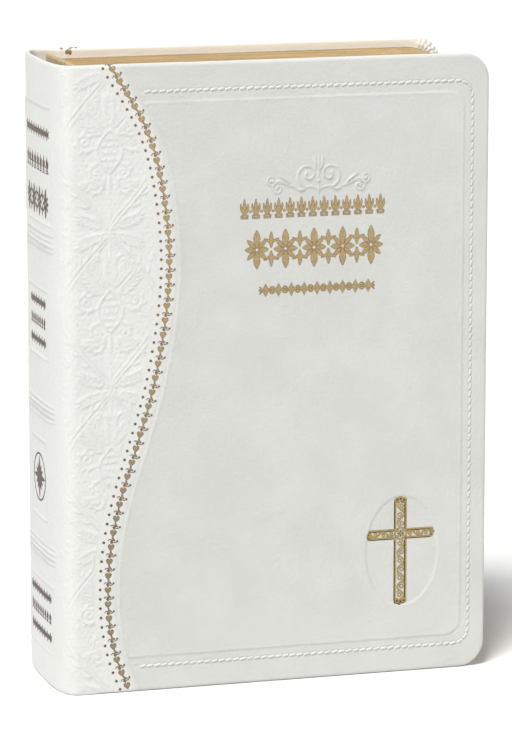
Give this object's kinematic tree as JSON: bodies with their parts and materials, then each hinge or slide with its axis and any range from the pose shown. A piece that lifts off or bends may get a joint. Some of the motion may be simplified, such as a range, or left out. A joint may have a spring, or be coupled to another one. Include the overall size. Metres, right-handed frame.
{
  "type": "bible",
  "caption": "Thick white leather-bound book with rounded corners, gilt page edges, embossed scrollwork and gold foil ornament; the covers and the page sections open on hinges.",
  "frame": {"origin": "centre of the closed book's box, on the plane its tail edges stand on", "axes": "+Z from tail to head, +X from the spine to the fore-edge, -Y out of the front cover"},
  "size_m": [0.15, 0.054, 0.212],
  "materials": {
    "cover_leather": "satin white grained leather, blind embossed",
    "gold_foil": "stamped antique gold foil",
    "gilt_pages": "thin paper, gilded edges",
    "endpaper": "matte cream paper",
    "board": "matte grey board",
    "lining_cloth": "open-weave cotton",
    "band_cloth": "woven gold and cream thread"
  },
  "bodies": {
    "pages_1": {"page_section_1": "gilt_pages", "spine_lining_1": "lining_cloth", "head_band_1": "band_cloth", "tail_band_1": "band_cloth"},
    "pages_2": {"page_section_2": "gilt_pages", "spine_lining_2": "lining_cloth", "head_band_2": "band_cloth", "tail_band_2": "band_cloth"},
    "pages_3": {"page_section_3": "gilt_pages", "spine_lining_3": "lining_cloth", "head_band_3": "band_cloth", "tail_band_3": "band_cloth"},
    "pages_4": {"page_section_4": "gilt_pages", "spine_lining_4": "lining_cloth", "head_band_4": "band_cloth", "tail_band_4": "band_cloth"},
    "pages_5": {"page_section_5": "gilt_pages", "spine_lining_5": "lining_cloth", "head_band_5": "band_cloth", "tail_band_5": "band_cloth"},
    "pages_6": {"page_section_6": "gilt_pages", "spine_lining_6": "lining_cloth", "head_band_6": "band_cloth", "tail_band_6": "band_cloth"},
    "pages_7": {"page_section_7": "gilt_pages", "spine_lining_7": "lining_cloth", "head_band_7": "band_cloth", "tail_band_7": "band_cloth"},
    "pages_8": {"page_section_8": "gilt_pages", "spine_lining_8": "lining_cloth", "head_band_8": "band_cloth", "tail_band_8": "band_cloth"},
    "pages_9": {"page_section_9": "gilt_pages", "spine_lining_9": "lining_cloth", "head_band_9": "band_cloth", "tail_band_9": "band_cloth"},
    "spine": {"spine_leather": "cover_leather", "spine_inlay": "board", "spine_foil_upper": "gold_foil", "spine_foil_lower": "gold_foil"},
    "front_hinge": {"front_hinge_leather": "cover_leather"},
    "back_hinge": {"back_hinge_leather": "cover_leather"},
    "front_cover": {"front_cover_leather": "cover_leather", "front_cover_board": "board", "front_cover_pastedown": "endpaper", "foil_border": "gold_foil", "foil_cross": "gold_foil", "foil_row_upper": "gold_foil", "foil_row_middle": "gold_foil", "foil_row_lower": "gold_foil"},
    "back_cover": {"back_cover_leather": "cover_leather", "back_cover_board": "board", "back_cover_pastedown": "endpaper", "foil_border_back": "gold_foil"},
    "front_flyleaf": {"front_flyleaf": "endpaper"},
    "back_flyleaf": {"back_flyleaf": "endpaper"}
  },
  "joints": [
    {"name": "book_opening", "type": "slide", "parent": "pages_5", "child": "spine", "axis": [-1, 0, 0], "range_m": [0, 0.015]},
    {"name": "front_hinge_fold", "type": "hinge", "parent": "spine", "child": "front_hinge", "pos_m": [-0.067, -0.027, 0.106], "axis": [0, 0, -1], "range_deg": [0, 71]},
    {"name": "back_hinge_fold", "type": "hinge", "parent": "spine", "child": "back_hinge", "pos_m": [-0.067, 0.027, 0.106], "axis": [0, 0, 1], "range_deg": [0, 71]},
    {"name": "front_cover_opening", "type": "hinge", "parent": "front_hinge", "child": "front_cover", "pos_m": [-0.061, -0.027, 0.106], "axis": [0, 0, -1], "range_deg": [0, 110]},
    {"name": "back_cover_opening", "type": "hinge", "parent": "back_hinge", "child": "back_cover", "pos_m": [-0.061, 0.027, 0.106], "axis": [0, 0, 1], "range_deg": [0, 110]},
    {"name": "pages_4_fan", "type": "hinge", "parent": "pages_5", "child": "pages_4", "pos_m": [-0.066, -0.00262, 0.106], "axis": [0, 0, -1], "range_deg": [0, 16.5]},
    {"name": "pages_6_fan", "type": "hinge", "parent": "pages_5", "child": "pages_6", "pos_m": [-0.066, 0.00262, 0.106], "axis": [0, 0, 1], "range_deg": [0, 16.5]},
    {"name": "pages_3_fan", "type": "hinge", "parent": "pages_4", "child": "pages_3", "pos_m": [-0.066, -0.00785, 0.106], "axis": [0, 0, -1], "range_deg": [0, 16.5]},
    {"name": "pages_7_fan", "type": "hinge", "parent": "pages_6", "child": "pages_7", "pos_m": [-0.066, 0.00785, 0.106], "axis": [0, 0, 1], "range_deg": [0, 16.5]},
    {"name": "pages_2_fan", "type": "hinge", "parent": "pages_3", "child": "pages_2", "pos_m": [-0.066, -0.01308, 0.106], "axis": [0, 0, -1], "range_deg": [0, 16.5]},
    {"name": "pages_8_fan", "type": "hinge", "parent": "pages_7", "child": "pages_8", "pos_m": [-0.066, 0.01308, 0.106], "axis": [0, 0, 1], "range_deg": [0, 16.5]},
    {"name": "pages_1_fan", "type": "hinge", "parent": "pages_2", "child": "pages_1", "pos_m": [-0.066, -0.01832, 0.106], "axis": [0, 0, -1], "range_deg": [0, 16.5]},
    {"name": "pages_9_fan", "type": "hinge", "parent": "pages_8", "child": "pages_9", "pos_m": [-0.066, 0.01832, 0.106], "axis": [0, 0, 1], "range_deg": [0, 16.5]},
    {"name": "front_flyleaf_turn", "type": "hinge", "parent": "pages_1", "child": "front_flyleaf", "pos_m": [-0.057, -0.02355, 0.106], "axis": [0, 0, -1], "range_deg": [0, 45]},
    {"name": "back_flyleaf_turn", "type": "hinge", "parent": "pages_9", "child": "back_flyleaf", "pos_m": [-0.057, 0.02355, 0.106], "axis": [0, 0, 1], "range_deg": [0, 45]}
  ],
  "couplings": [
    {"joint": "front_hinge_fold", "follows": "book_opening", "rad_per_m": 81.449},
    {"joint": "back_hinge_fold", "follows": "book_opening", "rad_per_m": 81.449},
    {"joint": "pages_1_fan", "follows": "book_opening", "rad_per_m": 18.617},
    {"joint": "pages_2_fan", "follows": "book_opening", "rad_per_m": 18.617},
    {"joint": "pages_3_fan", "follows": "book_opening", "rad_per_m": 18.617},
    {"joint": "pages_4_fan", "follows": "book_opening", "rad_per_m": 18.617},
    {"joint": "pages_6_fan", "follows": "book_opening", "rad_per_m": 18.617},
    {"joint": "pages_7_fan", "follows": "book_opening", "rad_per_m": 18.617},
    {"joint": "pages_8_fan", "follows": "book_opening", "rad_per_m": 18.617},
    {"joint": "pages_9_fan", "follows": "book_opening", "rad_per_m": 18.617},
    {"joint": "front_flyleaf_turn", "follows": "front_cover_opening", "ratio": 0.4},
    {"joint": "back_flyleaf_turn", "follows": "back_cover_opening", "ratio": 0.4}
  ]
}
